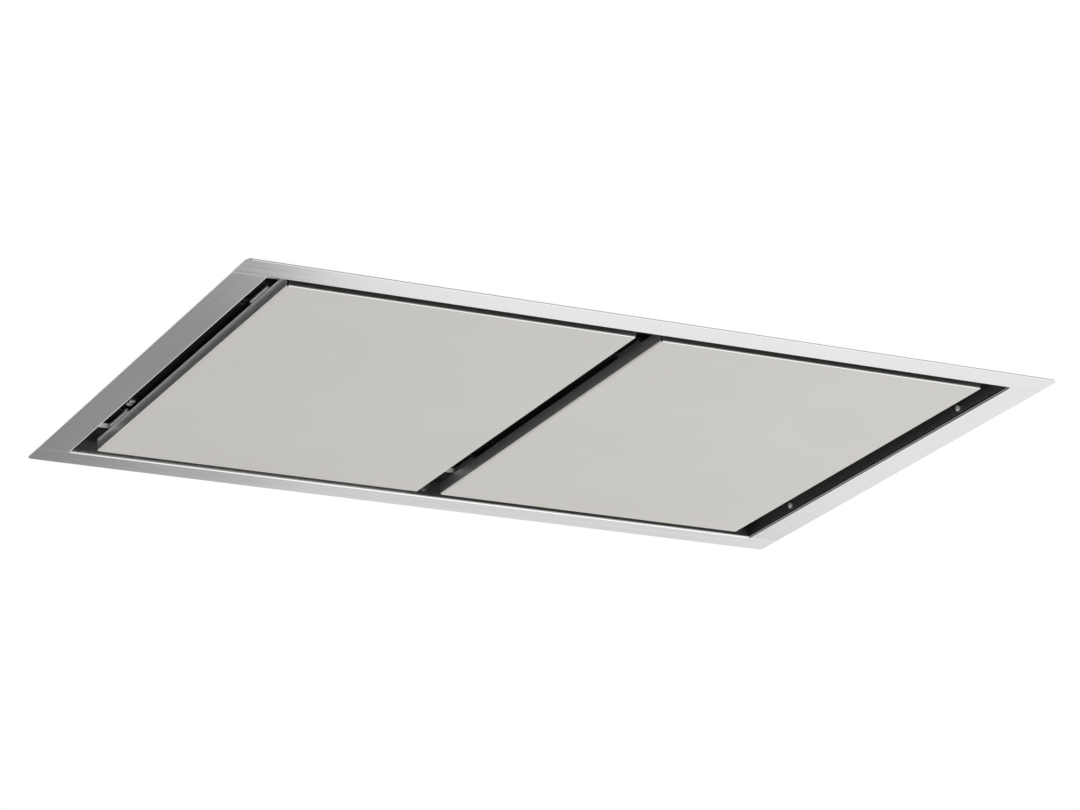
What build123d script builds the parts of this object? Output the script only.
from build123d import *
import math
import os

# Ceiling range hood, sunk in a ceiling: a trim frame with two hinged flush panels below, four grease
# filters behind them, a shallow casing above the ceiling and a blower box with a duct spigot on top.
# Frame: +Z up, +X along the long side, +Y to the back. The origin is the centre of the ceiling
# opening, in the plane of the ceiling, so the trim's upper face is at z = 0. Sizes in millimetres.

# ---- trim frame ----
HOOD_LENGTH = 1000.0
HOOD_DEPTH = 700.0
FLANGE_WIDTH = 41.0
TRIM_SHEET = 1.5
TRIM_BEND = 2.6
TRIM_CORNER = 4.0
UPSTAND_TOP = 40.0

# ---- flush panels ----
SIDE_SLOT = 27.5
MIDDLE_SLOT = 30.5
LONG_SLOT = 14.5
PANEL_SHEET = 1.0
PANEL_BEND = 2.0
PANEL_RISE = 15.0
PANEL_HEM = 10.0
STIFFENER_SHEET = 0.8
STIFFENER_WIDTH = 36.0
STIFFENER_RISE = 9.0
STIFFENER_FOOT = 14.0
STIFFENER_FROM_HINGE = 90.0
STIFFENER_END_GAP = 40.0

# ---- panel hinges ----
PIN_RADIUS = 1.5
PIN_FIT = 0.05
PIN_HEAD_RADIUS = 2.6
PIN_HEAD = 2.0
PIN_RIVET_RADIUS = 2.2
PIN_RIVET = 1.0
BARREL_RADIUS = 2.6
BARREL_LENGTH = 50.0
LEAF_SHEET = 1.5
LEAF_FLOOR_GAP = 3.0
HINGE_FROM_END = 89.0
HINGE_RISE = 3.0
END_PLAY = 0.3
BRACKET_SHEET = 1.5
BRACKET_REACH = 26.0
BRACKET_BACK = 7.0
BRACKET_FOOT = 33.0
BRACKET_LIP = 15.2
BRACKET_LIP_RUN = 7.0
BRACKET_BEND = 2.0
BRACKET_LOBE = 2.6
BRACKET_CLEARANCE = 1.0
FOOT_SCREW_PITCH = 10.0

# ---- rails and bed plate ----
RAIL_SHEET = 1.0
RAIL_BEND = 1.5
RAIL_DEPTH = 16.0
SIDE_RAIL_WIDTH = 45.0
MIDDLE_RAIL_WIDTH = 62.0
LEDGE_REACH = 12.0
BED_SHEET = 1.5
BED_RIM = 12.0
SEAT_GAP = 0.3

# ---- grease filters ----
FILTER_THICKNESS = 10.0
FILTER_RAIL_GAP = 4.0
FILTER_SIDE_GAP = 1.0
FILTER_MIDDLE_GAP = 10.0
FILTER_END_GAP = 32.0
FILTER_SHEET = 1.0
FILTER_BORDER = 14.0
NET_SHEET = 1.0
NET_COLUMNS = 16
NET_ROWS = 12
NET_GAP_SHARE = 0.72

# ---- filter latches ----
BOLT_WIDTH = 24.6
BOLT_THICKNESS = 2.6
BOLT_OVERLAP = 3.0
BOLT_GAP = 0.4
GUIDE_LENGTH = 12.0
GUIDE_WALL = 3.4
GUIDE_SHEET = 1.0
TAB_LENGTH = 8.0
TAB_DROP = 8.0

# ---- magnet catches ----
HOLDER_WIDTH = 11.0
HOLDER_LENGTH = 60.0
MAGNET_WIDTH = 8.0
MAGNET_LENGTH = 40.0
MAGNET_THICKNESS = 4.0
CATCH_GAP = 0.3
CATCH_INSET = 2.0
MAGNET_FIT = 0.1

# ---- casing above the ceiling ----
CASING_SHEET = 1.0
CASING_BEND = 1.5
CASING_HEIGHT = 110.0
CASING_FOLD = 15.0
CORNER_FOLD_START = 60.0

# ---- suspension ----
SUSPENSION_FROM_SIDE = 59.0
SUSPENSION_FROM_END = 49.0
SUSPENSION_SLOT = 20.0
ROD_CLEARANCE_RADIUS = 4.5
SUSPENSION_SHEET = 2.0
SUSPENSION_RISE = 32.0
SUSPENSION_WIDTH = 36.0
SUSPENSION_FOOT = 34.0
SUSPENSION_TAB = 40.0
SUSPENSION_SCREW_Y = 9.0

# ---- blower ----
BLOWER_Y = -40.0
INLET_THROAT = 76.0
INLET_CURVE = 22.0
INLET_SHEET = 1.0
INLET_FLANGE = 20.0
INLET_HOLE_MARGIN = 4.0
SCROLL_START = 122.0
SCROLL_STEP = 14.0
SCROLL_HEIGHT = 130.0
SCROLL_SHEET = 1.0
TONGUE_ANGLE = 45.0
WHEEL_RADIUS = 100.0
WHEEL_EYE = 82.0
WHEEL_SHEET = 1.0
WHEEL_RING = 3.0
WHEEL_INLET_GAP = 13.0
WHEEL_TOP_GAP = 12.0
BLADE_COUNT = 36
BLADE_SHEET = 0.8
BLADE_BOW = 3.5
BLADE_INSET = 1.0
HUB_RADIUS = 14.0
HUB_LENGTH = 26.0
SHAFT_RADIUS = 4.0
SHAFT_FIT = 0.05
MOTOR_PLATE = 1.5
MOTOR_RADIUS = 52.0
MOTOR_HEIGHT = 46.0
MOTOR_FLANGE_RADIUS = 68.0
MOTOR_FLANGE = 3.0
MOTOR_BOSS_RADIUS = 12.0
MOTOR_BOSS = 8.0
BOSS_HOLE_RADIUS = 18.0
BUSH_COUNT = 3
BUSH_CIRCLE = 60.0
BUSH_RADIUS = 6.0
BUSH_HEIGHT = 4.0

# ---- blower box and duct spigot ----
SCROLL_BOX_GAP = 17.0
BOX_HEIGHT = 198.0
BOX_SHEET = 1.0
BOX_FOLD = 12.0
DUCT_RADIUS = 75.0
DUCT_WALL = 2.0
DUCT_LENGTH = 80.0
DUCT_FLANGE = 2.0
DUCT_FLANGE_RADIUS = 82.0
DUCT_Z = 195.0
FLAP_ROD_RADIUS = 1.5
FLAP_ROD_SETBACK = 6.0
FLAP_ROD_COVER = 0.5
FLAP_FIT = 0.05
FLAP_THICKNESS = 1.5
FLAP_RIM_GAP = 1.5
KNUCKLE_RADIUS = 3.0
KNUCKLE_LENGTH = 16.0
KNUCKLE_COUNT = 8
KNUCKLE_PLAY = 0.4

# ---- control box ----
CONTROL_FROM_SIDE = 119.0
CONTROL_LENGTH = 160.0
CONTROL_WIDTH = 180.0
CONTROL_HEIGHT = 60.0
CONTROL_SHEET = 1.5
BOARD_LENGTH = 120.0
BOARD_WIDTH = 140.0
BOARD_SHEET = 1.6
RELAY_LENGTH = 18.0
RELAY_WIDTH = 14.0
RELAY_HEIGHT = 15.0
RELAY_ASIDE = -11.0
RELAY_Y = 27.0
COIL_LENGTH = 30.0
COIL_WIDTH = 35.0
COIL_HEIGHT = 22.0
COIL_ASIDE = -9.0
COIL_Y = -32.5
STANDOFF = 6.0
STANDOFF_RADIUS = 4.0
TERMINAL_LENGTH = 18.0
TERMINAL_WIDTH = 60.0
TERMINAL_HEIGHT = 16.0
GLAND_Z = 32.0
GLAND_RADIUS = 10.0
GLAND_BORE = 4.6
GLAND_LENGTH = 20.0
GLAND_NUT = 5.0
GLAND_NUT_RADIUS = 13.0
LEAD_RADIUS = 3.5
LEAD_BEND = 18.0
LEAD_STRAIGHT = 1.0
LEAD_Z = 150.0
GROMMET_RADIUS = 7.0
GROMMET_NECK = 5.0
GROMMET_LIP = 2.0

# ---- screws ----
SCREW_RADIUS = 2.0
SCREW_HOLE_GAP = 0.1
SCREW_HOLE_END = 1.0
SCREW_HEAD_RADIUS = 3.8
SCREW_HEAD = 2.2
SHORT_SCREW = 5.0
TRIM_SCREW_Z = 9.5
TRIM_SCREW_FROM_END = 109.0
TRIM_SCREW_FROM_SIDE = 159.0
TOP_SCREW_FROM_SIDE = 59.0
TOP_SCREW_INSET = 7.0

# ---- places worked out from the sizes above ----
OPENING_X = HOOD_LENGTH / 2 - FLANGE_WIDTH
OPENING_Y = HOOD_DEPTH / 2 - FLANGE_WIDTH
FACE_Z = -TRIM_SHEET
TRIM_SCREW_X = OPENING_X - TRIM_SCREW_FROM_SIDE
TRIM_SCREW_Y = OPENING_Y - TRIM_SCREW_FROM_END
TOP_SCREW_X = OPENING_X - TOP_SCREW_FROM_SIDE
SUSPENSION_X = 2 * (OPENING_X - SUSPENSION_FROM_SIDE)
SUSPENSION_Y = 2 * (OPENING_Y - SUSPENSION_FROM_END)
CASING_IN_X = OPENING_X + TRIM_SHEET
CASING_IN_Y = OPENING_Y + TRIM_SHEET
CASING_OUT_X = CASING_IN_X + CASING_SHEET
CASING_OUT_Y = CASING_IN_Y + CASING_SHEET
CASING_FOOT_Z = TRIM_BEND - TRIM_SHEET
PANEL_LENGTH = (2 * OPENING_X - 2 * SIDE_SLOT - MIDDLE_SLOT) / 2
PANEL_WIDTH = 2 * (OPENING_Y - LONG_SLOT)
PANEL_TOP = FACE_Z + PANEL_RISE
LEFT_PANEL_X = -OPENING_X + SIDE_SLOT
RIGHT_PANEL_X = MIDDLE_SLOT / 2
HINGE_Y = OPENING_Y - HINGE_FROM_END
HINGE_Z = PANEL_TOP + HINGE_RISE
STIFFENER_Y = HINGE_Y - STIFFENER_FROM_HINGE
HINGE_INSET = PANEL_SHEET + LEAF_SHEET - BARREL_RADIUS
RAIL_Z = UPSTAND_TOP - RAIL_DEPTH
EAR_INNER_Y = HINGE_Y - BARREL_LENGTH / 2 - END_PLAY - BRACKET_SHEET
EAR_OUTER_Y = HINGE_Y + BARREL_LENGTH / 2 + END_PLAY
FILTER_Z = UPSTAND_TOP - FILTER_THICKNESS
FILTER_INNER_X = MIDDLE_RAIL_WIDTH / 2 + FILTER_RAIL_GAP
FILTER_LENGTH = OPENING_X - SIDE_RAIL_WIDTH - FILTER_SIDE_GAP - FILTER_INNER_X
FILTER_WIDTH = OPENING_Y - FILTER_END_GAP - FILTER_MIDDLE_GAP / 2
FILTER_X = FILTER_INNER_X + FILTER_LENGTH / 2
FILTER_Y = FILTER_MIDDLE_GAP / 2 + FILTER_WIDTH / 2
BOLT_TIP_X = MIDDLE_RAIL_WIDTH / 2 - RAIL_SHEET - BOLT_OVERLAP
BOLT_TOP = FILTER_Z - BOLT_GAP
BOLT_BOTTOM = BOLT_TOP - BOLT_THICKNESS
TOP_Z = CASING_HEIGHT
DECK_Z = TOP_Z + CASING_SHEET
SCROLL_TOP = DECK_Z + SCROLL_HEIGHT
MOTOR_Z = SCROLL_TOP + MOTOR_PLATE + BUSH_HEIGHT
WHEEL_BOTTOM = DECK_Z + WHEEL_INLET_GAP
WHEEL_TOP = SCROLL_TOP - WHEEL_TOP_GAP
BOX_TOP = DECK_Z + BOX_HEIGHT
BOX_REACH = SCROLL_START + SCROLL_SHEET + SCROLL_BOX_GAP - BLOWER_Y
OUTLET_TOP_Y = SCROLL_START + 3 * SCROLL_STEP
TONGUE_RADIUS = SCROLL_START - SCROLL_STEP
TONGUE_Y = TONGUE_RADIUS * math.sin(math.radians(TONGUE_ANGLE))
DUCT_Y = BLOWER_Y + (OUTLET_TOP_Y + TONGUE_Y) / 2
ROD_X = BOX_REACH + DUCT_FLANGE + FLAP_ROD_SETBACK
CONTROL_X = -OPENING_X + CONTROL_FROM_SIDE
CONTROL_RIGHT = CONTROL_X + CONTROL_LENGTH / 2
CONTROL_LEFT = CONTROL_X - CONTROL_LENGTH / 2
LEAD_RISE_X = BOX_SHEET + GROMMET_LIP + LEAD_STRAIGHT + LEAD_BEND - BOX_REACH
SIGNS = (-1, 1)


def block(x, y, z):
    """Box between the low and the high value given for each axis."""
    middle = Pos((x[0] + x[1]) / 2, (y[0] + y[1]) / 2, (z[0] + z[1]) / 2)
    return middle * Box(x[1] - x[0], y[1] - y[0], z[1] - z[0])


def centred(x_size, y_size, z):
    """Box centred on the vertical axis, between two heights."""
    return block((-x_size / 2, x_size / 2), (-y_size / 2, y_size / 2), z)


def rod(start, axis, radius, length):
    """Round bar from a point along an axis."""
    return Solid.make_cylinder(radius, length, Plane(origin=start, z_dir=axis))


def tube(start, axis, outer, inner, length):
    """Round tube from a point along an axis."""
    return rod(start, axis, outer, length) - rod(start, axis, inner, length)


def folded_sheet(points, sheet, bend, plane, length):
    """Sheet folded along points on its outer face, with its thickness to the left of their path."""
    line = FilletPolyline(*points, radius=bend)
    section = make_face(offset(line, amount=sheet, side=Side.LEFT))
    return extrude(plane * section, amount=length / 2, both=True)


def pan_screw(at, axis, length=SHORT_SCREW):
    """Pan-head screw whose head sits at a point and whose shank runs along an axis."""
    point = Vector(*at)
    back = point - Vector(*axis) * SCREW_HEAD
    return rod(back, axis, SCREW_HEAD_RADIUS, SCREW_HEAD) + rod(point, axis, SCREW_RADIUS, length)


def screw_hole(at, axis, length=SHORT_SCREW):
    """Clearance hole for a screw, which runs on a little past both ends of its shank."""
    point = Vector(*at) - Vector(*axis) * SCREW_HOLE_END
    return rod(point, axis, SCREW_RADIUS + SCREW_HOLE_GAP, length + 2 * SCREW_HOLE_END)


def drill(shape, seats):
    """Shape with a clearance hole at each screw seat."""
    for at, axis in seats:
        shape = shape - screw_hole(at, axis)
    return shape


def save(node, *pieces):
    """Write the solids of one node to its own file."""
    solids = [solid for piece in pieces for solid in piece.solids()]
    export_step(Compound(children=solids), f"parts/{node}.step")


# ---- screw seats, shared by the screws and the holes they go through ----
def side_trim_seats(side):
    return [((side * OPENING_X, y, TRIM_SCREW_Z), (side, 0, 0)) for y in (-TRIM_SCREW_Y, TRIM_SCREW_Y)]


def long_trim_seats(side):
    places = (-TRIM_SCREW_X, 0, TRIM_SCREW_X)
    return [((x, side * OPENING_Y, TRIM_SCREW_Z), (0, side, 0)) for x in places]


def top_seats():
    seats = []
    for side in SIGNS:
        for x in (-TOP_SCREW_X, 0, TOP_SCREW_X):
            seats.append(((x, side * (CASING_IN_Y - TOP_SCREW_INSET), DECK_Z), (0, 0, -1)))
        for y in (-TRIM_SCREW_Y, TRIM_SCREW_Y):
            seats.append(((side * (CASING_IN_X - TOP_SCREW_INSET), y, DECK_Z), (0, 0, -1)))
    return seats


def suspension_seats():
    top = DECK_Z + SUSPENSION_SHEET
    inner = SUSPENSION_X / 2 - SUSPENSION_TAB / 2 - SUSPENSION_SHEET - SUSPENSION_FOOT / 2
    seats = []
    for x in (-inner, inner):
        for y in (-SUSPENSION_Y / 2, SUSPENSION_Y / 2):
            for offset_y in (-SUSPENSION_SCREW_Y, SUSPENSION_SCREW_Y):
                seats.append(((x, y + offset_y, top), (0, 0, -1)))
    return seats


def hinge_line(panel_x):
    return panel_x + HINGE_INSET


def bracket_seats(panel_x):
    x = hinge_line(panel_x)
    z = RAIL_Z - BRACKET_SHEET
    seats = []
    for side in SIGNS:
        for step in (0, 1):
            y = EAR_INNER_Y - 2 * FOOT_SCREW_PITCH + step * FOOT_SCREW_PITCH
            seats.append(((x, side * y, z), (0, 0, 1)))
    return seats


# ---- trim frame ----
def trim_angle(inside_length):
    """L strip along X: flange towards -Y, upstand with its visible face at y = 0."""
    outline = ((-FLANGE_WIDTH, FACE_Z), (0, FACE_Z), (0, UPSTAND_TOP))
    return folded_sheet(outline, TRIM_SHEET, TRIM_BEND, Plane.YZ, inside_length)


def long_trim(side):
    """Full-length strip, front or back, with the two corner pieces that the side strips butt against."""
    strip = trim_angle(2 * OPENING_X)
    for end in SIGNS:
        x = sorted((end * OPENING_X, end * HOOD_LENGTH / 2))
        corner = block(x, (-FLANGE_WIDTH, 0), (FACE_Z, 0))
        strip = strip + corner
    outer = strip.edges().filter_by(Axis.Z).group_by(Axis.Y)[0]
    strip = fillet(outer, TRIM_CORNER)
    turn = Rot(0, 0, 0 if side < 0 else 180)
    strip = turn * (Pos(0, -OPENING_Y, 0) * strip)
    return drill(strip, long_trim_seats(side))


def side_trim(side):
    strip = trim_angle(2 * OPENING_Y)
    turn = Rot(0, 0, -90 if side < 0 else 90)
    strip = turn * (Pos(0, -OPENING_X, 0) * strip)
    return drill(strip, side_trim_seats(side))


# ---- flush panels ----
def panel_pan(panel_x):
    """Pan folded up on all sides, with open corners and a hem for the magnets away from the hinge."""
    x = (panel_x, panel_x + PANEL_LENGTH)
    y = (-PANEL_WIDTH / 2, PANEL_WIDTH / 2)
    outer = block(x, y, (FACE_Z, PANEL_TOP))
    low = outer.edges().group_by(Axis.Z)[0]
    outer = fillet(low + outer.edges().filter_by(Axis.Z), PANEL_BEND)
    inner_x = (x[0] + PANEL_SHEET, x[1] - PANEL_SHEET)
    inner_y = (y[0] + PANEL_SHEET, y[1] - PANEL_SHEET)
    inner = block(inner_x, inner_y, (FACE_Z + PANEL_SHEET, PANEL_TOP + PANEL_SHEET))
    low = inner.edges().group_by(Axis.Z)[0]
    inner = fillet(low + inner.edges().filter_by(Axis.Z), PANEL_BEND - PANEL_SHEET)
    hem_x = (x[1] - PANEL_SHEET - PANEL_HEM, x[1] - PANEL_SHEET)
    hem_y = (inner_y[0] + PANEL_BEND, inner_y[1] - PANEL_BEND)
    hem = block(hem_x, hem_y, (PANEL_TOP - PANEL_SHEET, PANEL_TOP))
    pan = outer - inner + hem
    for corner_x in ((x[0], x[0] + PANEL_BEND), (x[1] - PANEL_BEND, x[1])):
        for corner_y in ((y[0], y[0] + PANEL_BEND), (y[1] - PANEL_BEND, y[1])):
            pan = pan - block(corner_x, corner_y, (FACE_Z + PANEL_BEND, PANEL_TOP))
    return pan


def panel_stiffeners(panel_x):
    """Two hat sections across the back of the panel's face."""
    half = STIFFENER_WIDTH / 2
    foot = half + STIFFENER_FOOT
    rise = STIFFENER_RISE
    hat = ((-foot, 0), (-half, 0), (-half, rise), (half, rise), (half, 0), (foot, 0))
    length = PANEL_LENGTH - 2 * STIFFENER_END_GAP
    section = folded_sheet(hat, STIFFENER_SHEET, PANEL_BEND, Plane.YZ, length)
    middle = panel_x + PANEL_LENGTH / 2
    seat = FACE_Z + PANEL_SHEET
    return [Pos(middle, side * STIFFENER_Y, seat) * section for side in SIGNS]


# ---- panel hinges ----
def hinge_leaf(panel_x, side):
    """Leaf against the inside of the panel's wall, rolled into a barrel at its top."""
    x = hinge_line(panel_x)
    low = side * HINGE_Y - BARREL_LENGTH / 2
    high = side * HINGE_Y + BARREL_LENGTH / 2
    leaf_x = (x + BARREL_RADIUS - LEAF_SHEET, x + BARREL_RADIUS)
    leaf = block(leaf_x, (low, high), (FACE_Z + PANEL_SHEET + LEAF_FLOOR_GAP, HINGE_Z))
    barrel = rod((x, low, HINGE_Z), (0, 1, 0), BARREL_RADIUS, BARREL_LENGTH)
    bore = rod((x, low, HINGE_Z), (0, 1, 0), PIN_RADIUS + PIN_FIT, BARREL_LENGTH)
    return barrel + leaf - bore


def hinge_bracket(panel_x, side):
    """Foot under the rail, two ears for the pin and a lip that slopes down beyond the outer ear."""
    x = hinge_line(panel_x)
    wide = (x - BRACKET_REACH, x + BRACKET_BACK)
    low = HINGE_Z + BRACKET_CLEARANCE
    outer_end = EAR_OUTER_Y + BRACKET_SHEET
    foot_y = (EAR_INNER_Y - BRACKET_FOOT, outer_end)
    bracket = block(wide, foot_y, (RAIL_Z - BRACKET_SHEET, RAIL_Z))
    for y in (EAR_INNER_Y, EAR_OUTER_Y):
        ear_y = (y, y + BRACKET_SHEET)
        bracket = bracket + block(wide, ear_y, (low, RAIL_Z))
        lobe_x = (x - BRACKET_LOBE, x + BRACKET_LOBE)
        bracket = bracket + block(lobe_x, ear_y, (HINGE_Z, low + BRACKET_SHEET))
        bracket = bracket + rod((x, y, HINGE_Z), (0, 1, 0), BRACKET_LOBE, BRACKET_SHEET)
    foot_z = RAIL_Z - BRACKET_SHEET
    lip_end = outer_end + BRACKET_LIP
    path = ((EAR_OUTER_Y, foot_z), (lip_end - BRACKET_LIP_RUN, foot_z), (lip_end, low))
    lip = folded_sheet(path, BRACKET_SHEET, BRACKET_BEND, Plane.YZ, wide[1] - wide[0])
    bracket = bracket + Pos((wide[0] + wide[1]) / 2, 0, 0) * lip
    reach = outer_end - EAR_INNER_Y
    bracket = bracket - rod((x, EAR_INNER_Y, HINGE_Z), (0, 1, 0), PIN_RADIUS + PIN_FIT, reach)
    if side < 0:
        bracket = mirror(bracket, about=Plane.XZ)
    return drill(bracket, bracket_seats(panel_x))


def hinge_pin(panel_x, side):
    """Pin with a domed head on the inner ear and a riveted end on the outer ear."""
    x = hinge_line(panel_x)
    end = EAR_OUTER_Y + BRACKET_SHEET
    pin = rod((x, EAR_INNER_Y - PIN_HEAD, HINGE_Z), (0, 1, 0), PIN_HEAD_RADIUS, PIN_HEAD)
    rim = pin.edges().filter_by(GeomType.CIRCLE).group_by(Axis.Y)[0]
    pin = fillet(rim, PIN_HEAD / 2)
    pin = pin + rod((x, EAR_INNER_Y, HINGE_Z), (0, 1, 0), PIN_RADIUS, end - EAR_INNER_Y)
    pin = pin + rod((x, end, HINGE_Z), (0, 1, 0), PIN_RIVET_RADIUS, PIN_RIVET)
    return pin if side > 0 else mirror(pin, about=Plane.XZ)


# ---- rails and bed plate ----
def rail_channel(x):
    """U channel along Y, open upwards, that hangs under the bed plate."""
    outline = ((x[0], UPSTAND_TOP), (x[0], RAIL_Z), (x[1], RAIL_Z), (x[1], UPSTAND_TOP))
    return folded_sheet(outline, RAIL_SHEET, RAIL_BEND, Plane.XZ, 2 * (OPENING_Y - SEAT_GAP))


def side_rail(side):
    """Side rail with the ledge that carries the outer edge of the filters."""
    wall = OPENING_X - SEAT_GAP
    face = OPENING_X - SIDE_RAIL_WIDTH
    rail = rail_channel(sorted((side * wall, side * face)))
    ledge_x = sorted((side * face, side * (face - LEDGE_REACH)))
    ledge_y = (-OPENING_Y + SEAT_GAP, OPENING_Y - SEAT_GAP)
    rail = rail + block(ledge_x, ledge_y, (FILTER_Z - RAIL_SHEET, FILTER_Z))
    return drill(rail, bracket_seats(LEFT_PANEL_X)) if side < 0 else rail


def middle_rail():
    """Middle rail, with a slot in each side for every filter bolt."""
    half = MIDDLE_RAIL_WIDTH / 2
    rail = rail_channel((-half, half))
    slot_y = BOLT_WIDTH / 2 + BOLT_GAP
    for side in SIGNS:
        y = (side * FILTER_Y - slot_y, side * FILTER_Y + slot_y)
        slot = block((-half - RAIL_SHEET, half + RAIL_SHEET), y, (BOLT_BOTTOM - BOLT_GAP, FILTER_Z))
        rail = rail - slot
    return drill(rail, bracket_seats(RIGHT_PANEL_X))


def bed_plate():
    """Plate across the casing with a window over each filter and a rim folded up along the walls."""
    plate = centred(2 * CASING_IN_X, 2 * CASING_IN_Y, (UPSTAND_TOP, UPSTAND_TOP + BED_SHEET + BED_RIM))
    hollow_x = 2 * (CASING_IN_X - BED_SHEET)
    hollow_y = 2 * (CASING_IN_Y - BED_SHEET)
    top = UPSTAND_TOP + BED_SHEET
    plate = plate - centred(hollow_x, hollow_y, (top, top + BED_RIM))
    for x in (-FILTER_X, FILTER_X):
        for y in (-FILTER_Y, FILTER_Y):
            window = centred(*filter_window(), (UPSTAND_TOP, top))
            plate = plate - Pos(x, y, 0) * window
    return plate


# ---- grease filters ----
def filter_window():
    return FILTER_LENGTH - 2 * FILTER_BORDER, FILTER_WIDTH - 2 * FILTER_BORDER


def filter_places():
    """Name, side in X and side in Y of each filter."""
    places = []
    for name_x, side_x in (("left", -1), ("right", 1)):
        for name_y, side_y in (("front", -1), ("back", 1)):
            places.append((f"{name_x}_{name_y}", side_x, side_y))
    return places


def at_filter(shape, side_x, side_y):
    """Move a shape drawn for the right-hand back filter to any of the four filters."""
    shape = Pos(0, side_y * FILTER_Y, 0) * shape
    return shape if side_x > 0 else mirror(shape, about=Plane.YZ)


def filter_frame(side_x, side_y):
    """Frame of inward U section, with the two guides that hold the latch under its inner edge."""
    z = (FILTER_Z, UPSTAND_TOP)
    ring = Pos(FILTER_X, 0, 0) * centred(FILTER_LENGTH, FILTER_WIDTH, z)
    ring = fillet(ring.edges().filter_by(Axis.Z), 2 * FILTER_SHEET)
    hollow = centred(FILTER_LENGTH - 2 * FILTER_SHEET, FILTER_WIDTH - 2 * FILTER_SHEET,
                     (z[0] + FILTER_SHEET, z[1] - FILTER_SHEET))
    ring = ring - Pos(FILTER_X, 0, 0) * hollow - Pos(FILTER_X, 0, 0) * centred(*filter_window(), z)
    inner = BOLT_WIDTH / 2 + BOLT_GAP
    x = (FILTER_INNER_X + FILTER_SHEET, FILTER_INNER_X + FILTER_SHEET + GUIDE_LENGTH)
    low = BOLT_BOTTOM - BOLT_GAP - GUIDE_SHEET
    for side in SIGNS:
        wall_y = sorted((side * inner, side * (inner + GUIDE_WALL)))
        lip_y = sorted((side * (inner - GUIDE_WALL), side * (inner + GUIDE_WALL)))
        ring = ring + block(x, wall_y, (low, FILTER_Z))
        ring = ring + block(x, lip_y, (low, low + GUIDE_SHEET))
    return at_filter(ring, side_x, side_y)


def filter_net():
    """Flat net with diamond gaps, which lies inside the frame's U section."""
    margin = 2 * FILTER_SHEET + 2 * SEAT_GAP
    length = FILTER_LENGTH - margin
    width = FILTER_WIDTH - margin
    window_x, window_y = filter_window()
    pitch_x = window_x / NET_COLUMNS
    pitch_y = window_y / NET_ROWS
    half_x = pitch_x * NET_GAP_SHARE / 2
    half_y = pitch_y * NET_GAP_SHARE / 2
    diamond = Polygon((half_x, 0), (0, half_y), (-half_x, 0), (0, -half_y), align=None)
    gaps = [place * diamond for place in GridLocations(pitch_x, pitch_y, NET_COLUMNS, NET_ROWS)]
    holes = [gap.faces()[0].outer_wire() for gap in gaps]
    outer = Rectangle(length, width).faces()[0].outer_wire()
    return extrude(Face(outer, holes), amount=NET_SHEET)


def filter_nets():
    """Lower and upper net of each filter, each against its lip of the frame."""
    net = filter_net()
    heights = (FILTER_Z + FILTER_SHEET, UPSTAND_TOP - FILTER_SHEET - NET_SHEET)
    middles = [(side_x * FILTER_X, side_y * FILTER_Y) for side_x in SIGNS for side_y in SIGNS]
    return [Pos(*middle, z) * net for middle in middles for z in heights]


def filter_latch(side_x, side_y):
    """Sprung bolt with a finger tab, one plastic piece, which locks into the middle rail."""
    half = BOLT_WIDTH / 2
    end = FILTER_INNER_X + FILTER_SHEET + GUIDE_LENGTH + SEAT_GAP + TAB_LENGTH
    bolt = block((BOLT_TIP_X, end), (-half, half), (BOLT_BOTTOM, BOLT_TOP))
    tip = bolt.edges().filter_by(Axis.Y).group_by(Axis.X)[0].group_by(Axis.Z)[0]
    bolt = chamfer(tip, BOLT_THICKNESS / 2)
    tab = block((end - TAB_LENGTH, end), (-half, half), (BOLT_BOTTOM - TAB_DROP, BOLT_TOP))
    tab = fillet(tab.edges().filter_by(Axis.X).group_by(Axis.Z)[0], TAB_DROP / 2)
    return at_filter(bolt + tab, side_x, side_y)


# ---- magnet catches ----
def catch_places():
    """Low X edge and Y of each catch, over the hem on the free side of each panel."""
    places = []
    for panel_x in (LEFT_PANEL_X, RIGHT_PANEL_X):
        for side in SIGNS:
            x = panel_x + PANEL_LENGTH - CATCH_INSET - HOLDER_WIDTH
            places.append((x, side * HINGE_Y))
    return places


def magnet_block(x, y, grow):
    middle = x + HOLDER_WIDTH / 2
    low = PANEL_TOP + CATCH_GAP
    half_x = MAGNET_WIDTH / 2 + grow
    half_y = MAGNET_LENGTH / 2 + grow
    return block((middle - half_x, middle + half_x), (y - half_y, y + half_y), (low, low + MAGNET_THICKNESS))


def magnet_holder(x, y):
    wide = (x, x + HOLDER_WIDTH)
    long = (y - HOLDER_LENGTH / 2, y + HOLDER_LENGTH / 2)
    holder = block(wide, long, (PANEL_TOP + CATCH_GAP, RAIL_Z))
    holder = fillet(holder.edges().filter_by(Axis.Z), PANEL_BEND)
    return holder - magnet_block(x, y, MAGNET_FIT)


# ---- casing ----
def casing_long_wall(side):
    """Front or back wall, folded inwards at its top."""
    outline = ((CASING_FOLD, TOP_Z), (0, TOP_Z), (0, CASING_FOOT_Z))
    wall = folded_sheet(outline, CASING_SHEET, CASING_BEND, Plane.YZ, 2 * CASING_OUT_X)
    wall = Pos(0, -CASING_OUT_Y, 0) * wall
    wall = Rot(0, 0, 0 if side < 0 else 180) * wall
    return drill(drill(wall, long_trim_seats(side)), top_seats())


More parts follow.
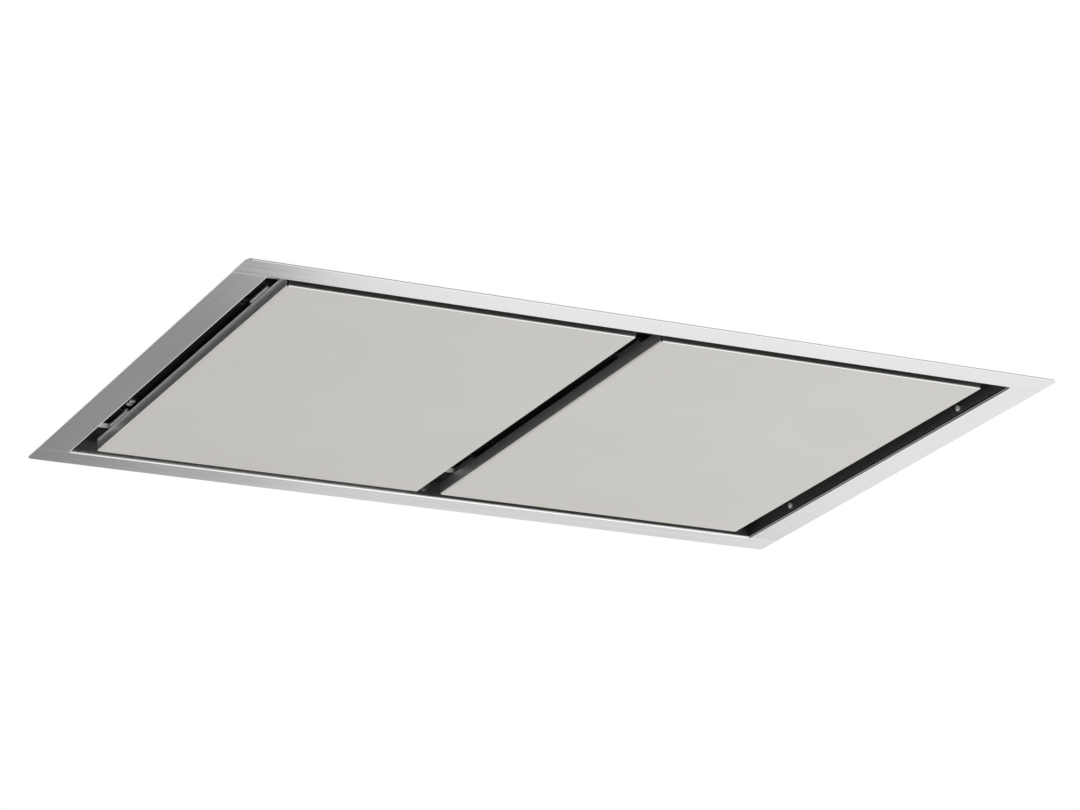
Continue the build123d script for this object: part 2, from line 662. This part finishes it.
def casing_side_wall(side):
    """Side wall between the long walls, folded at its top and lapping the long walls at its ends."""
    outline = ((CASING_FOLD, TOP_Z), (0, TOP_Z), (0, CASING_FOOT_Z))
    length = 2 * CASING_IN_Y
    fold = CASING_FOLD + CASING_SHEET
    top = folded_sheet(outline, CASING_SHEET, CASING_BEND, Plane.YZ, length - 2 * fold)
    wall = top + block((-length / 2, length / 2), (0, CASING_SHEET), (CASING_FOOT_Z, TOP_Z - CASING_BEND))
    laps = []
    for end in SIGNS:
        x = sorted((end * length / 2, end * (length / 2 - CASING_SHEET)))
        laps.append(block(x, (0, CASING_FOLD), (CORNER_FOLD_START, TOP_Z - CASING_SHEET - CASING_BEND)))
    wall = Pos(0, -CASING_OUT_X, 0) * (wall + laps)
    wall = Rot(0, 0, -90 if side < 0 else 90) * wall
    return drill(drill(wall, side_trim_seats(side)), top_seats())


def casing_top():
    """Deck of the casing, with the blower's inlet hole."""
    plate = centred(2 * CASING_OUT_X, 2 * CASING_OUT_Y, (TOP_Z, DECK_Z))
    hole = INLET_THROAT + INLET_CURVE + INLET_HOLE_MARGIN
    plate = plate - rod((0, BLOWER_Y, TOP_Z), (0, 0, 1), hole, CASING_SHEET)
    return drill(drill(plate, top_seats()), suspension_seats())


def suspension_bracket(side_x, side_y):
    """Z bracket: foot screwed to the deck, upright, and a tab with a slot for a threaded rod."""
    half = SUSPENSION_WIDTH / 2
    tab_end = SUSPENSION_TAB / 2
    upright = -tab_end - SUSPENSION_SHEET
    foot_end = upright - SUSPENSION_FOOT
    top = DECK_Z + SUSPENSION_RISE
    bracket = block((foot_end, -tab_end), (-half, half), (DECK_Z, DECK_Z + SUSPENSION_SHEET))
    bracket = bracket + block((upright, -tab_end), (-half, half), (DECK_Z, top))
    bracket = bracket + block((upright, tab_end), (-half, half), (top - SUSPENSION_SHEET, top))
    straight = SUSPENSION_SLOT - 2 * ROD_CLEARANCE_RADIUS
    slot = SlotCenterToCenter(straight, 2 * ROD_CLEARANCE_RADIUS)
    bracket = bracket - Pos(0, 0, top - SUSPENSION_SHEET) * extrude(slot, amount=SUSPENSION_SHEET)
    if side_x < 0:
        bracket = mirror(bracket, about=Plane.YZ)
    bracket = Pos(side_x * SUSPENSION_X / 2, side_y * SUSPENSION_Y / 2, 0) * bracket
    return drill(bracket, suspension_seats())


# ---- blower ----
def at_blower(shape):
    return Pos(0, BLOWER_Y, 0) * shape


def inlet_ring():
    """Bell-mouthed ring under the deck that leads the air into the wheel's eye."""
    flange = INLET_THROAT + INLET_CURVE + INLET_FLANGE
    bottom = TOP_Z - INLET_SHEET
    mouth = ((flange, bottom), (INLET_THROAT, bottom), (INLET_THROAT, bottom + INLET_CURVE))
    line = FilletPolyline(*mouth, radius=INLET_CURVE - INLET_SHEET)
    section = make_face(offset(line, amount=INLET_SHEET, side=Side.RIGHT))
    return at_blower(revolve(Plane.XZ * section, Axis.Z))


def scroll_outline(grow):
    """Closed outline of the scroll's air path: quarter arcs that widen by one step each."""
    step = SCROLL_STEP
    right = (SCROLL_START + grow, 0)
    bottom = (0, -SCROLL_START - grow)
    left = (-SCROLL_START - step - grow, step)
    top = (step, OUTLET_TOP_Y + grow)
    tongue_y = TONGUE_Y - grow
    tongue_reach = TONGUE_RADIUS + grow
    tongue = (step + math.sqrt(tongue_reach**2 - tongue_y**2), tongue_y)
    outlet = BOX_REACH - BOX_SHEET
    half_angle = math.atan2(tongue[1], tongue[0] - step) / 2
    tongue_middle = (step + tongue_reach * math.cos(half_angle), tongue_reach * math.sin(half_angle))
    edges = [
        ThreePointArc(tongue, tongue_middle, right),
        ThreePointArc(right, quarter((0, 0), right[0], -45), bottom),
        ThreePointArc(bottom, quarter((0, step), right[0] + step, -135), left),
        ThreePointArc(left, quarter((step, step), right[0] + 2 * step, 135), top),
        Line(top, (outlet, top[1])),
        Line((outlet, top[1]), (outlet, tongue_y)),
        Line((outlet, tongue_y), tongue),
    ]
    return make_face(Curve(children=edges))


def quarter(centre, radius, degrees):
    """Point on a circle at an angle."""
    angle = math.radians(degrees)
    return centre[0] + radius * math.cos(angle), centre[1] + radius * math.sin(angle)


def scroll_wall():
    """Spiral wall of the blower, from the tongue round to the outlet."""
    path = extrude(scroll_outline(0), amount=SCROLL_HEIGHT)
    mouth_x = (BOX_REACH - BOX_SHEET - SCROLL_SHEET, BOX_REACH)
    mouth = block(mouth_x, (TONGUE_Y, OUTLET_TOP_Y), (0, SCROLL_HEIGHT))
    wall = extrude(scroll_outline(SCROLL_SHEET), amount=SCROLL_HEIGHT) - path - mouth
    return at_blower(Pos(0, 0, DECK_Z) * wall)


def scroll_top():
    """Top plate of the scroll, which carries the motor on its bushes."""
    plate = extrude(scroll_outline(SCROLL_SHEET), amount=MOTOR_PLATE)
    plate = plate - rod((0, 0, 0), (0, 0, 1), BOSS_HOLE_RADIUS, MOTOR_PLATE)
    return at_blower(Pos(0, 0, SCROLL_TOP) * plate)


def wheel_disc():
    """Closed disc and hub of the wheel, fixed on the shaft."""
    disc = rod((0, 0, WHEEL_TOP - WHEEL_SHEET), (0, 0, 1), WHEEL_RADIUS, WHEEL_SHEET)
    disc = disc + rod((0, 0, WHEEL_TOP - HUB_LENGTH), (0, 0, 1), HUB_RADIUS, HUB_LENGTH)
    return at_blower(disc - rod((0, 0, WHEEL_TOP - HUB_LENGTH), (0, 0, 1), SHAFT_RADIUS, HUB_LENGTH))


def wheel_ring():
    return at_blower(tube((0, 0, WHEEL_BOTTOM), (0, 0, 1), WHEEL_RADIUS, WHEEL_EYE, WHEEL_RING))


def wheel_blades():
    """Forward-curved blades between the ring and the disc."""
    low = WHEEL_BOTTOM + WHEEL_RING
    height = WHEEL_TOP - WHEEL_SHEET - low
    inner = WHEEL_EYE + BLADE_INSET
    outer = WHEEL_RADIUS - BLADE_INSET
    middle = (inner + outer) / 2
    face = make_face(Curve(children=[
        ThreePointArc((inner, 0), (middle, BLADE_BOW), (outer, 0)),
        Line((outer, 0), (outer, BLADE_SHEET)),
        ThreePointArc((outer, BLADE_SHEET), (middle, BLADE_BOW + BLADE_SHEET), (inner, BLADE_SHEET)),
        Line((inner, BLADE_SHEET), (inner, 0)),
    ]))
    blade = Pos(0, 0, low) * extrude(face, amount=height)
    return [at_blower(Rot(0, 0, step * 360 / BLADE_COUNT) * blade) for step in range(BLADE_COUNT)]


def shaft_bounds():
    return WHEEL_TOP - HUB_LENGTH, MOTOR_Z + MOTOR_HEIGHT / 2


def motor_shaft():
    low, high = shaft_bounds()
    return at_blower(rod((0, 0, low), (0, 0, 1), SHAFT_RADIUS, high - low))


def motor():
    """Motor on its flange, with the bearing boss that reaches down through the scroll's top plate."""
    body = rod((0, 0, MOTOR_Z), (0, 0, 1), MOTOR_RADIUS, MOTOR_HEIGHT)
    body = fillet(body.edges().group_by(Axis.Z)[-1], 2 * BUSH_HEIGHT)
    body = body + rod((0, 0, MOTOR_Z), (0, 0, 1), MOTOR_FLANGE_RADIUS, MOTOR_FLANGE)
    body = body + rod((0, 0, MOTOR_Z - MOTOR_BOSS), (0, 0, 1), MOTOR_BOSS_RADIUS, MOTOR_BOSS)
    depth = shaft_bounds()[1] + SEAT_GAP - (MOTOR_Z - MOTOR_BOSS)
    bore = rod((0, 0, MOTOR_Z - MOTOR_BOSS), (0, 0, 1), SHAFT_RADIUS + SHAFT_FIT, depth)
    return at_blower(body - bore)


def motor_bushes():
    low = SCROLL_TOP + MOTOR_PLATE
    bush = tube((BUSH_CIRCLE, 0, low), (0, 0, 1), BUSH_RADIUS, SCREW_RADIUS, BUSH_HEIGHT)
    return [at_blower(Rot(0, 0, step * 360 / BUSH_COUNT) * bush) for step in range(BUSH_COUNT)]


# ---- blower box ----
def blower_box_wrap():
    """Front, left and back side of the blower box, one sheet folded to a U."""
    reach = BOX_REACH
    wide = (-reach, reach - BOX_SHEET)
    wrap = block(wide, (-reach, reach), (DECK_Z, BOX_TOP))
    inner_y = (-reach + BOX_SHEET, reach - BOX_SHEET)
    inner = block((wide[0] + BOX_SHEET, reach), inner_y, (DECK_Z, BOX_TOP))
    return wrap - inner - lead_hole(-reach, BOX_SHEET, LEAD_Z)


def blower_box_outlet_side():
    """Right side of the blower box, with the hole for the duct spigot."""
    side = block((BOX_REACH - BOX_SHEET, BOX_REACH), (-BOX_REACH, BOX_REACH), (DECK_Z, BOX_TOP))
    bore = DUCT_RADIUS - DUCT_WALL
    hole = rod((BOX_REACH - BOX_SHEET, DUCT_Y, DUCT_Z), (1, 0, 0), bore, BOX_SHEET)
    return side - hole


def blower_box_lid():
    """Lid with its rim turned down over the box."""
    reach = BOX_REACH + BOX_SHEET
    lid = centred(2 * reach, 2 * reach, (BOX_TOP - BOX_FOLD, BOX_TOP + BOX_SHEET))
    return lid - centred(2 * BOX_REACH, 2 * BOX_REACH, (BOX_TOP - BOX_FOLD, BOX_TOP))


# ---- duct spigot and non-return flaps ----
def duct_spigot():
    """Round spigot with its flange on the blower box and the two bearings of the flap rod."""
    flange_start = (BOX_REACH, DUCT_Y, DUCT_Z)
    bore = DUCT_RADIUS - DUCT_WALL
    length = DUCT_FLANGE + DUCT_LENGTH
    spigot = rod(flange_start, (1, 0, 0), DUCT_FLANGE_RADIUS, DUCT_FLANGE)
    spigot = spigot + rod(flange_start, (1, 0, 0), DUCT_RADIUS, length)
    spigot = spigot - rod(flange_start, (1, 0, 0), bore, length)
    return spigot - flap_rod_shape(FLAP_FIT)


def flap_rod_shape(grow):
    """Upright rod across the spigot, with its ends in the spigot's wall."""
    reach = DUCT_RADIUS - FLAP_ROD_COVER
    return rod((ROD_X, DUCT_Y, DUCT_Z - reach), (0, 0, 1), FLAP_ROD_RADIUS + grow, 2 * reach)


def duct_flap(side):
    """Half-round flap with its share of the knuckles on the rod."""
    radius = DUCT_RADIUS - DUCT_WALL - FLAP_RIM_GAP
    disc = rod((ROD_X - FLAP_THICKNESS / 2, DUCT_Y, DUCT_Z), (1, 0, 0), radius, FLAP_THICKNESS)
    near = sorted((DUCT_Y + side * (KNUCKLE_RADIUS + KNUCKLE_PLAY), DUCT_Y + side * DUCT_RADIUS))
    wide = (ROD_X - DUCT_RADIUS, ROD_X + DUCT_RADIUS)
    tall = (DUCT_Z - DUCT_RADIUS, DUCT_Z + DUCT_RADIUS)
    flap = disc & block(wide, near, tall)
    start = DUCT_Z - KNUCKLE_COUNT * KNUCKLE_LENGTH / 2
    for index in range(KNUCKLE_COUNT):
        if index % 2 == (side + 1) // 2:
            continue
        low = start + index * KNUCKLE_LENGTH + KNUCKLE_PLAY
        high = low + KNUCKLE_LENGTH - 2 * KNUCKLE_PLAY
        flap = flap + rod((ROD_X, DUCT_Y, low), (0, 0, 1), KNUCKLE_RADIUS, high - low)
        web_y = sorted((DUCT_Y, DUCT_Y + side * (KNUCKLE_RADIUS + 2 * KNUCKLE_PLAY)))
        web_x = (ROD_X - FLAP_THICKNESS / 2, ROD_X + FLAP_THICKNESS / 2)
        flap = flap + block(web_x, web_y, (low, high))
    return flap - rod((ROD_X, DUCT_Y, tall[0]), (0, 0, 1), FLAP_ROD_RADIUS + FLAP_FIT, 2 * DUCT_RADIUS)


# ---- control box and lead ----
def lead_hole(x, sheet, z):
    """Hole in a wall for a grommet's neck."""
    return rod((x, BLOWER_Y, z), (1, 0, 0), GROMMET_NECK, sheet)


def control_box():
    """Box screwed to the deck, open at its top, with the boss for the cable gland."""
    x = (CONTROL_LEFT, CONTROL_RIGHT)
    y = (-CONTROL_WIDTH / 2, CONTROL_WIDTH / 2)
    box = block(x, y, (DECK_Z, DECK_Z + CONTROL_HEIGHT))
    inner_x = (x[0] + CONTROL_SHEET, x[1] - CONTROL_SHEET)
    inner_y = (y[0] + CONTROL_SHEET, y[1] - CONTROL_SHEET)
    box = box - block(inner_x, inner_y, (DECK_Z + CONTROL_SHEET, DECK_Z + CONTROL_HEIGHT))
    box = box - rod((x[0], 0, DECK_Z + GLAND_Z), (1, 0, 0), GLAND_RADIUS, CONTROL_SHEET)
    box = box - lead_hole(x[1] - CONTROL_SHEET, CONTROL_SHEET, LEAD_Z)
    for dx in SIGNS:
        for dy in SIGNS:
            place = (CONTROL_X + dx * (BOARD_LENGTH / 2 - STANDOFF), dy * (BOARD_WIDTH / 2 - STANDOFF))
            box = box + rod((*place, DECK_Z + CONTROL_SHEET), (0, 0, 1), STANDOFF_RADIUS, STANDOFF)
    return box


def control_lid():
    """Lid that laps over the control box."""
    length = CONTROL_LENGTH + 2 * CONTROL_SHEET
    width = CONTROL_WIDTH + 2 * CONTROL_SHEET
    top = DECK_Z + CONTROL_HEIGHT
    lid = centred(length, width, (top - GLAND_NUT, top + CONTROL_SHEET))
    lid = fillet(lid.edges().group_by(Axis.Z)[-1], CONTROL_SHEET / 2)
    lid = lid - centred(CONTROL_LENGTH, CONTROL_WIDTH, (top - GLAND_NUT, top))
    return Pos(CONTROL_X, 0, 0) * lid


def board_top():
    return DECK_Z + CONTROL_SHEET + STANDOFF + BOARD_SHEET


def circuit_board():
    """Board with a relay and a transformer on it."""
    top = board_top()
    board = Pos(CONTROL_X, 0, 0) * centred(BOARD_LENGTH, BOARD_WIDTH, (top - BOARD_SHEET, top))
    relay = centred(RELAY_LENGTH, RELAY_WIDTH, (top, top + RELAY_HEIGHT))
    coil = centred(COIL_LENGTH, COIL_WIDTH, (top, top + COIL_HEIGHT))
    relay = Pos(CONTROL_X + RELAY_ASIDE, RELAY_Y, 0) * relay
    coil = Pos(CONTROL_X + COIL_ASIDE, COIL_Y, 0) * coil
    return board + relay + coil


def terminal_block():
    """Terminal block at the board's right edge, where the motor lead ends."""
    x = (CONTROL_X + BOARD_LENGTH / 2 - TERMINAL_LENGTH, CONTROL_X + BOARD_LENGTH / 2)
    y = (BLOWER_Y - TERMINAL_WIDTH / 2, BLOWER_Y + TERMINAL_WIDTH / 2)
    top = LEAD_Z + TERMINAL_HEIGHT / 2
    return block(x, y, (board_top(), top))


def cable_gland():
    """Gland for the supply cable in the control box's left side, with its nut inside."""
    z = DECK_Z + GLAND_Z
    body = rod((CONTROL_LEFT - GLAND_LENGTH, 0, z), (1, 0, 0), GLAND_NUT_RADIUS, GLAND_LENGTH)
    body = fillet(body.edges().group_by(Axis.X)[0], GLAND_NUT / 2)
    neck = GLAND_LENGTH + CONTROL_SHEET + GLAND_NUT
    body = body + rod((CONTROL_LEFT - GLAND_LENGTH, 0, z), (1, 0, 0), GLAND_RADIUS, neck)
    nut = rod((CONTROL_LEFT + CONTROL_SHEET, 0, z), (1, 0, 0), GLAND_NUT_RADIUS, GLAND_NUT)
    return body + nut - rod((CONTROL_LEFT - GLAND_LENGTH, 0, z), (1, 0, 0), GLAND_BORE, neck)


def motor_lead():
    """Lead from the terminal block through both grommets and up to the motor's side."""
    motor_side = -math.sqrt(MOTOR_RADIUS**2 - LEAD_RADIUS**2)
    middle = MOTOR_Z + MOTOR_HEIGHT / 2
    start = CONTROL_X + BOARD_LENGTH / 2
    route = ((start, LEAD_Z), (LEAD_RISE_X, LEAD_Z), (LEAD_RISE_X, middle), (motor_side, middle))
    line = Plane.XZ * FilletPolyline(*route, radius=LEAD_BEND)
    lead = sweep(Plane(origin=(start, 0, LEAD_Z), z_dir=(1, 0, 0)) * Circle(LEAD_RADIUS), path=line)
    lead = at_blower(lead)
    return lead - rod((0, BLOWER_Y, MOTOR_Z), (0, 0, 1), MOTOR_RADIUS, MOTOR_HEIGHT)


def grommet(wall_x, sheet):
    """Rubber ring that lines a hole in a wall from both sides."""
    start = (wall_x - GROMMET_LIP, BLOWER_Y, LEAD_Z)
    ring = rod(start, (1, 0, 0), GROMMET_RADIUS, GROMMET_LIP)
    ring = ring + rod((wall_x + sheet, BLOWER_Y, LEAD_Z), (1, 0, 0), GROMMET_RADIUS, GROMMET_LIP)
    ring = ring + rod(start, (1, 0, 0), GROMMET_NECK, sheet + 2 * GROMMET_LIP)
    return ring - rod(start, (1, 0, 0), LEAD_RADIUS, sheet + 2 * GROMMET_LIP)


def screws(seats, length=SHORT_SCREW):
    return [pan_screw(at, axis, length) for at, axis in seats]


def write_all():
    for name, side in (("front", -1), ("back", 1)):
        save(f"trim_{name}", long_trim(side))
        save(f"casing_{name}_wall", casing_long_wall(side))
    for name, side in (("left", -1), ("right", 1)):
        save(f"trim_{name}", side_trim(side))
        save(f"casing_{name}_wall", casing_side_wall(side))
        save(f"{name}_rail", side_rail(side))
    trim_seats = [seat for side in SIGNS for seat in side_trim_seats(side) + long_trim_seats(side)]
    save("trim_screws", *screws(trim_seats))

    for name, panel_x in (("left", LEFT_PANEL_X), ("right", RIGHT_PANEL_X)):
        save(f"{name}_panel", panel_pan(panel_x))
        save(f"{name}_panel_stiffeners", *panel_stiffeners(panel_x))
        save(f"{name}_panel_hinge_leaves", *[hinge_leaf(panel_x, side) for side in SIGNS])
    panels = [(panel_x, side) for panel_x in (LEFT_PANEL_X, RIGHT_PANEL_X) for side in SIGNS]
    save("hinge_brackets", *[hinge_bracket(*place) for place in panels])
    save("hinge_pins", *[hinge_pin(*place) for place in panels])
    save("hinge_screws", *screws(bracket_seats(LEFT_PANEL_X) + bracket_seats(RIGHT_PANEL_X)))
    save("magnet_holders", *[magnet_holder(*place) for place in catch_places()])
    save("catch_magnets", *[magnet_block(*place, 0) for place in catch_places()])

    save("middle_rail", middle_rail())
    save("bed_plate", bed_plate())
    for name, side_x, side_y in filter_places():
        save(f"filter_frame_{name}", filter_frame(side_x, side_y))
        save(f"filter_latch_{name}", filter_latch(side_x, side_y))
    save("filter_nets", *filter_nets())

    save("casing_top", casing_top())
    save("suspension_brackets", *[suspension_bracket(x, y) for x in SIGNS for y in SIGNS])
    save("casing_screws", *screws(top_seats() + suspension_seats()))

    save("inlet_ring", inlet_ring())
    save("scroll_wall", scroll_wall())
    save("scroll_top", scroll_top())
    save("wheel_disc", wheel_disc())
    save("wheel_ring", wheel_ring())
    save("wheel_blades", *wheel_blades())
    save("motor_shaft", motor_shaft())
    save("motor", motor())
    save("motor_bushes", *motor_bushes())
    save("blower_box_wrap", blower_box_wrap())
    save("blower_box_outlet_side", blower_box_outlet_side())
    save("blower_box_lid", blower_box_lid())
    save("duct_spigot", duct_spigot())
    save("flap_rod", flap_rod_shape(0))
    save("front_flap", duct_flap(-1))
    save("back_flap", duct_flap(1))

    save("control_box", control_box())
    save("control_lid", control_lid())
    save("circuit_board", circuit_board())
    save("terminal_block", terminal_block())
    save("cable_gland", cable_gland())
    save("motor_lead", motor_lead())
    grommets = ((CONTROL_RIGHT - CONTROL_SHEET, CONTROL_SHEET), (-BOX_REACH, BOX_SHEET))
    save("lead_grommets", *[grommet(x, sheet) for x, sheet in grommets])


os.makedirs("parts", exist_ok=True)
write_all()
